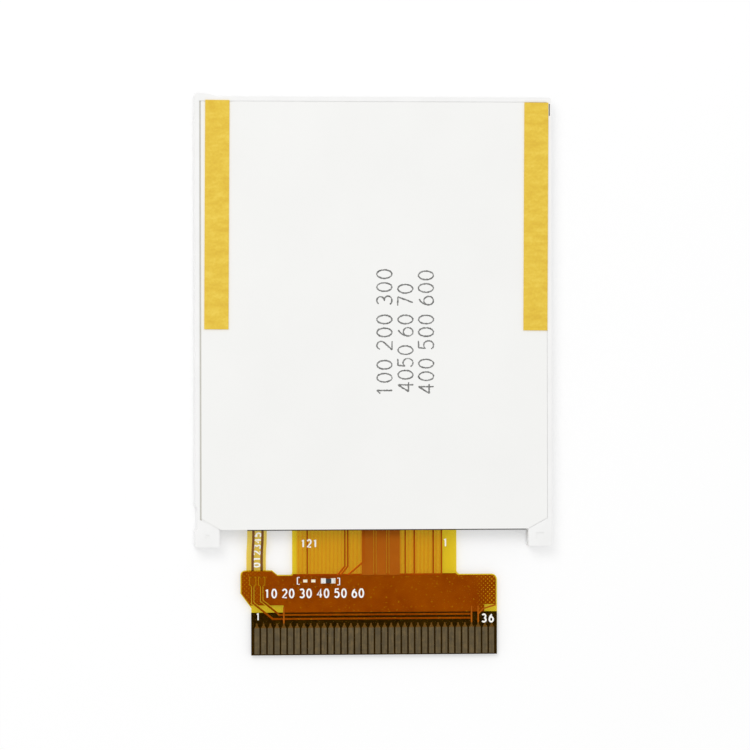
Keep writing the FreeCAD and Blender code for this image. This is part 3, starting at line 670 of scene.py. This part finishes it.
def ribbon_mesh(strokes, width, low, high):
    """Raised ribbons along the strokes, climbing a little so that no two tops lie in one plane."""
    vertices = []
    faces = []
    for number, stroke in enumerate(strokes):
        first = len(vertices)
        for i, (x, y) in enumerate(stroke):
            ax, ay = stroke[max(i - 1, 0)]
            bx, by = stroke[min(i + 1, len(stroke) - 1)]
            length = math.hypot(bx - ax, by - ay)
            nx = (ay - by) / length * width / 2
            ny = (bx - ax) / length * width / 2
            top = high + PRINT_CLIMB * (number % 2 + i / len(stroke))
            vertices += [(x + nx, y + ny, low), (x - nx, y - ny, low)]
            vertices += [(x - nx, y - ny, top), (x + nx, y + ny, top)]
        for i in range(len(stroke) - 1):
            a = first + 4 * i
            for k in range(4):
                n = (k + 1) % 4
                faces.append((a + k, a + n, a + 4 + n, a + 4 + k))
        last = first + 4 * (len(stroke) - 1)
        faces.append((first + 3, first + 2, first + 1, first))
        faces.append((last, last + 1, last + 2, last + 3))
    return vertices, faces


def dot_mesh(strokes, low, high, chance):
    """Small round ink dots set along the strokes, each a little uneven."""
    vertices = []
    faces = []
    sides = INK_DOT_SIDES
    radius = INK_DOT_RADIUS
    stray = INK_DOT_STRAY
    for stroke in strokes:
        for (ax, ay), (bx, by) in zip(stroke, stroke[1:]):
            count = max(1, round(math.hypot(bx - ax, by - ay) / INK_DOT_GAP))
            for k in range(count):
                t = (k + 0.5) / count
                x = ax + (bx - ax) * t + chance.uniform(-stray, stray) * radius
                y = ay + (by - ay) * t + chance.uniform(-stray, stray) * radius
                r = radius * chance.uniform(*INK_DOT_SIZES)
                top = low + (high - low) * chance.uniform(*INK_DOT_TOPS)
                first = len(vertices)
                for z in (low, top):
                    for j in range(sides):
                        angle = 2 * math.pi * j / sides
                        vertices.append((x + r * math.cos(angle), y + r * math.sin(angle), z))
                lower = [first + j for j in range(sides)]
                upper = [v + sides for v in lower]
                faces.append(tuple(reversed(lower)))
                faces.append(tuple(upper))
                for j in range(sides):
                    n = (j + 1) % sides
                    faces.append((lower[j], lower[n], upper[n], upper[j]))
    return vertices, faces


def place_mesh(name, vertices, faces, material, x, y, turn):
    """Makes a piece of a mesh, turned and moved to its place, on the module's body."""
    mesh = bpy.data.meshes.new(name)
    mesh.from_pydata(vertices, [], faces)
    mesh.transform(Matrix.Translation((x, y, 0)) @ Matrix.Rotation(math.radians(turn), 4, "Z"))
    mesh.materials.append(material)
    mesh.validate()
    mesh.update()
    piece = bpy.data.objects.new(name, mesh)
    bpy.context.scene.collection.objects.link(piece)
    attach(piece, "root")


def circuit_prints():
    """White numbers and brackets printed on the circuit's cover film."""
    white = screen_print()
    for name, text, x, y, height, pitch, width in CIRCUIT_PRINTS:
        strokes = text_strokes(text, height * MM, pitch * MM, PRINT_SLIM)
        vertices, faces = ribbon_mesh(strokes, width * MM, COVER_TOP, COVER_TOP + PRINT_HEIGHT)
        place_mesh(name, vertices, faces, white, x * MM, y * MM, 0)


def tail_print():
    """White plain numbers between the tail's two lines, reading up it and bent with it."""
    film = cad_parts["light_strip_film"]
    strokes = text_strokes(TAIL_TEXT, TAIL_TEXT_HEIGHT, TAIL_TEXT_PITCH, PRINT_SLIM)
    vertices, faces = ribbon_mesh(strokes, TAIL_STROKE, 0.0, PRINT_HEIGHT)
    move = Matrix.Translation((TAIL_PRINT_X, TAIL_PRINT_Y, 0))
    turned = move @ Matrix.Rotation(math.radians(90), 4, "Z")
    laid = []
    for vertex in vertices:
        x, y, rise = turned @ Vector(vertex)
        point = film.ray_cast(Vector((x, y, SHEET_TOP)), Vector((0, 0, -1)))[1]
        laid.append((x, y, point.z + rise))
    place_mesh("tail_print", laid, faces, screen_print(), 0, 0, 0)


def sheet_prints():
    """Three rows of plain numbers in grey ink dots, turned to read up the sheet."""
    ink = jet_ink()
    chance = random.Random(INK_SEED)
    for i, (text, pitch, x, y) in enumerate(INK_ROWS):
        strokes = text_strokes(text, INK_TEXT_HEIGHT, pitch * MM, INK_SLIM)
        vertices, faces = dot_mesh(strokes, SHEET_TOP, SHEET_TOP + INK_HEIGHT, chance)
        name = "ink_row_" + str(i + 1)
        place_mesh(name, vertices, faces, ink, x * MM, y * MM, 90)


# Stage, camera and light


def stage():
    """A plain pale floor that keeps the module's shadow."""
    mesh = bpy.data.meshes.new("floor")
    h = FLOOR_HALF
    mesh.from_pydata([(-h, -h, 0), (h, -h, 0), (h, h, 0), (-h, h, 0)], [], [(0, 1, 2, 3)])
    floor = bpy.data.objects.new("floor", mesh)
    floor.location.z = -FLOOR_DROP
    bpy.context.scene.collection.objects.link(floor)
    s = Shader("floor_white")
    s.color(s.ramp(s.noise(80 * MM), [(0.3, (0.985, 0.985, 0.985)), (0.7, (1.0, 1.0, 1.0))]))
    s.set(Roughness=1.0, Specular_IOR_Level=0.0)
    white = s.add("ShaderNodeEmission")
    sight = s.add("ShaderNodeLightPath")
    seen = s.math("MAXIMUM", sight.outputs["Is Camera Ray"], sight.outputs["Is Glossy Ray"])
    seen = s.math("MAXIMUM", seen, sight.outputs["Is Transmission Ray"])
    blend = s.add("ShaderNodeMixShader")
    s.link(s.math("MULTIPLY", seen, FLOOR_GLOW), blend.inputs["Fac"])
    s.link(s.main.outputs["BSDF"], blend.inputs[1])
    s.link(white.outputs["Emission"], blend.inputs[2])
    s.link(blend.outputs["Shader"], s.out.inputs["Surface"])
    mesh.materials.append(s.material)


def camera():
    """The camera that stands where the photograph was taken from."""
    scene = bpy.context.scene
    data = bpy.data.cameras.new("camera")
    data.sensor_width = SENSOR_WIDTH
    data.lens = PIXELS_PER_MM / MM * VIEW_DISTANCE * SENSOR_WIDTH / PHOTO_PIXELS
    data.clip_start = 0.01
    data.clip_end = 10.0
    holder = bpy.data.objects.new("camera", data)
    away = Vector((-math.sin(VIEW_FROM_LEFT), 0.0, math.cos(VIEW_FROM_LEFT)))
    turn = Matrix.Rotation(-VIEW_FROM_LEFT, 4, "Y") @ Matrix.Rotation(VIEW_ROLL, 4, "Z")
    holder.matrix_world = Matrix.Translation(LOOK_AT + away * VIEW_DISTANCE) @ turn
    scene.collection.objects.link(holder)
    scene.camera = holder


def light():
    """A white sky, shown at full strength where it is seen, and one soft key light."""
    scene = bpy.context.scene
    world = bpy.data.worlds.new("sky")
    world.use_nodes = True
    nodes = world.node_tree.nodes
    links = world.node_tree.links
    plain_sky = nodes["Background"]
    plain_sky.inputs["Color"].default_value = (1.0, 1.0, 1.0, 1.0)
    plain_sky.inputs["Strength"].default_value = SKY_STRENGTH
    white = nodes.new("ShaderNodeBackground")
    white.inputs["Color"].default_value = (1.0, 1.0, 1.0, 1.0)
    white.inputs["Strength"].default_value = 1.0
    path = nodes.new("ShaderNodeLightPath")
    seen = path.outputs["Is Camera Ray"]
    for ray in ("Is Glossy Ray", "Is Transmission Ray"):
        either = nodes.new("ShaderNodeMath")
        either.operation = "MAXIMUM"
        links.new(seen, either.inputs[0])
        links.new(path.outputs[ray], either.inputs[1])
        seen = either.outputs["Value"]
    blend = nodes.new("ShaderNodeMixShader")
    links.new(seen, blend.inputs["Fac"])
    links.new(plain_sky.outputs["Background"], blend.inputs[1])
    links.new(white.outputs["Background"], blend.inputs[2])
    links.new(blend.outputs["Shader"], nodes["World Output"].inputs["Surface"])
    scene.world = world
    data = bpy.data.lights.new("key", "AREA")
    data.shape = "DISK"
    data.size = KEY_SIZE
    data.energy = KEY_WATTS
    key = bpy.data.objects.new("key", data)
    key.location = KEY_PLACE
    key.rotation_euler = (-KEY_PLACE).to_track_quat("-Z", "Y").to_euler()
    scene.collection.objects.link(key)


scene = bpy.context.scene
scene.view_settings.view_transform = "Standard"
dress()
part_films()
circuit_prints()
tail_print()
sheet_prints()
stage()
camera()
light()
